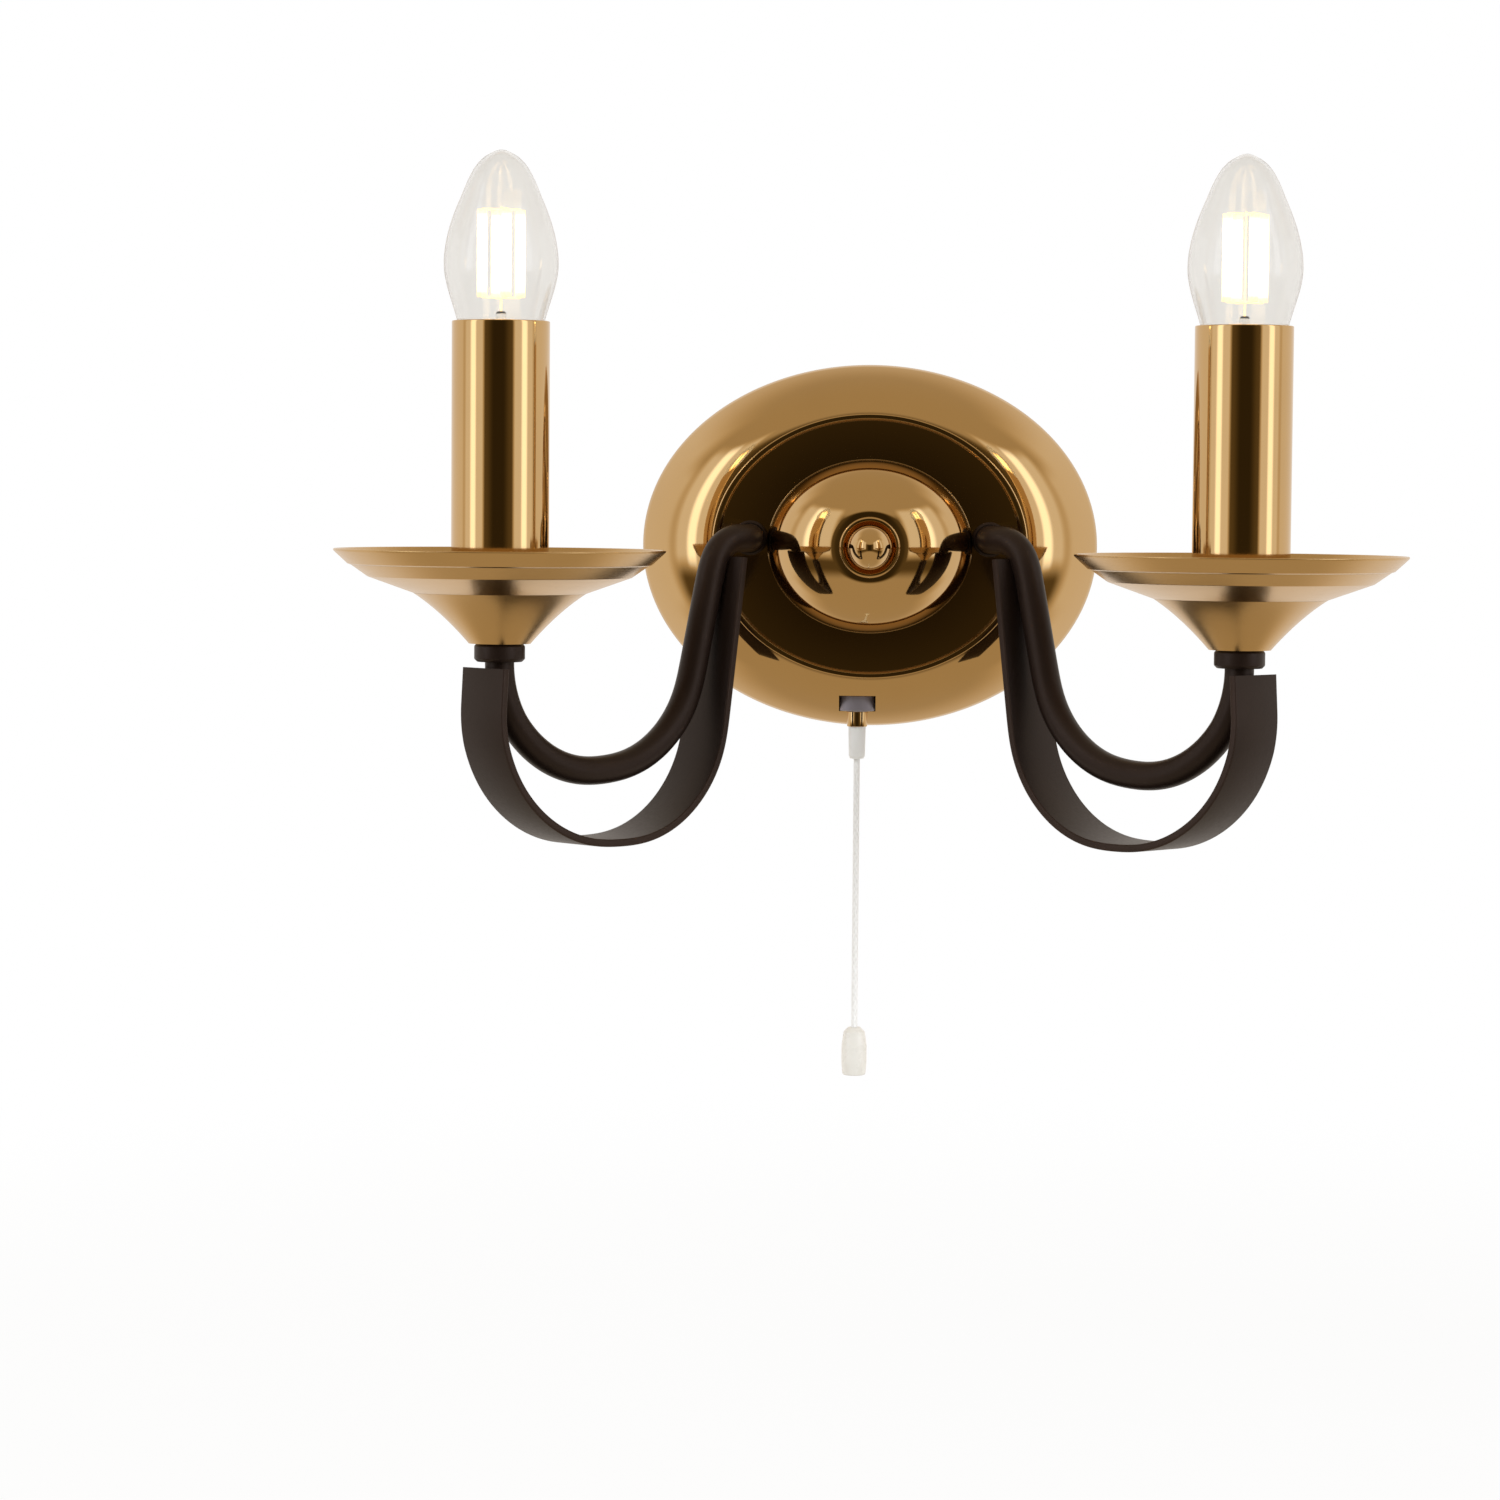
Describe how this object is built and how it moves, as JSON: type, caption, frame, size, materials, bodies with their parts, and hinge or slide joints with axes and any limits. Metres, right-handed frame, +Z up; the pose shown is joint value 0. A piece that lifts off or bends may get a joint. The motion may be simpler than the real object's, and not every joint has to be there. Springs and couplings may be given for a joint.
{
  "type": "double arm wall sconce",
  "caption": "Wall sconce with an oval brass plate, dark tube-and-strap arms, drip pans, brass candle sleeves, flame bulbs and a pull cord switch.",
  "frame": {"origin": "middle of the wall bracket's back face, on the wall, on the centre stud's axis", "axes": "+Y points into the wall and the light stands out towards -Y; +X is to the right; +Z is up"},
  "size_m": [0.3284, 0.159, 0.2958],
  "materials": {
    "polished_brass": "polished antique brass, lacquered",
    "bronze_black": "satin dark bronze, almost black",
    "zinc_steel": "zinc plated steel",
    "nickel": "nickel plated",
    "white_bakelite": "moulded heat-proof plastic",
    "frosted_nozzle": "translucent white nylon",
    "white_cord": "fine braided cord",
    "white_toggle": "off-white moulded plastic",
    "lead_sheath": "insulated lead",
    "clear_glass": "clear blown glass",
    "lit_filament": "glowing warm white filament"
  },
  "bodies": {
    "root": {"arm_lead_left": "lead_sheath", "arm_lead_right": "lead_sheath", "arm_lock_nut_left": "zinc_steel", "arm_lock_nut_right": "zinc_steel", "arm_root_ring_left": "bronze_black", "arm_root_ring_right": "bronze_black", "arm_strap_left": "bronze_black", "arm_strap_right": "bronze_black", "arm_tube_left": "bronze_black", "arm_tube_right": "bronze_black", "backplate": "polished_brass", "candle_sleeve_left": "polished_brass", "candle_sleeve_right": "polished_brass", "centre_stud": "zinc_steel", "cone_cup_left": "polished_brass", "cone_cup_right": "polished_brass", "cup_collar_left": "bronze_black", "cup_collar_right": "bronze_black", "cup_nipple_left": "zinc_steel", "cup_nipple_right": "zinc_steel", "drip_pan_left": "polished_brass", "drip_pan_right": "polished_brass", "earth_screw": "zinc_steel", "finial": "polished_brass", "finial_washer": "polished_brass", "holder_body_left": "white_bakelite", "holder_body_right": "white_bakelite", "holder_contact_left": "nickel", "holder_contact_right": "nickel", "holder_shell_left": "nickel", "holder_shell_right": "nickel", "holder_stem_left": "zinc_steel", "holder_stem_right": "zinc_steel", "stud_lock_nut": "zinc_steel", "switch_body": "white_bakelite", "switch_lid": "white_bakelite", "switch_nozzle": "frosted_nozzle", "switch_ring_nut": "nickel", "switch_spring": "zinc_steel", "switch_wire_live": "lead_sheath", "switch_wire_neutral": "lead_sheath", "terminal_block": "white_bakelite", "terminal_screws": "zinc_steel", "wall_bracket": "zinc_steel"},
    "pull": {"switch_plunger": "white_bakelite", "pull_cord": "white_cord", "cord_toggle": "white_toggle"},
    "rotor": {"switch_rotor": "white_bakelite"},
    "bulb_left": {"bulb_glass_left": "clear_glass", "bulb_cap_left": "nickel", "bulb_contact_left": "nickel", "bulb_stem_left": "clear_glass", "bulb_filaments_left": "lit_filament"},
    "bulb_right": {"bulb_glass_right": "clear_glass", "bulb_cap_right": "nickel", "bulb_contact_right": "nickel", "bulb_stem_right": "clear_glass", "bulb_filaments_right": "lit_filament"}
  },
  "joints": [
    {"name": "cord_pull", "type": "slide", "parent": "root", "child": "pull", "axis": [0, 0, -1], "range_m": [0, 0.006], "stiffness_N_per_m": 500, "springref_m": -0.004, "deforming": ["switch_spring"]},
    {"name": "rotor_turn", "type": "hinge", "parent": "root", "child": "rotor", "pos_m": [-0.0036, -0.0106, -0.035], "axis": [0, 0, 1], "range_deg": [0, 90]},
    {"name": "bulb_lift_left", "type": "slide", "parent": "root", "child": "bulb_left", "axis": [0, 0, 1], "range_m": [0, 0.05]},
    {"name": "bulb_lift_right", "type": "slide", "parent": "root", "child": "bulb_right", "axis": [0, 0, 1], "range_m": [0, 0.05]}
  ],
  "couplings": [
    {"joint": "rotor_turn", "follows": "cord_pull", "rad_per_m": 261.79}
  ]
}
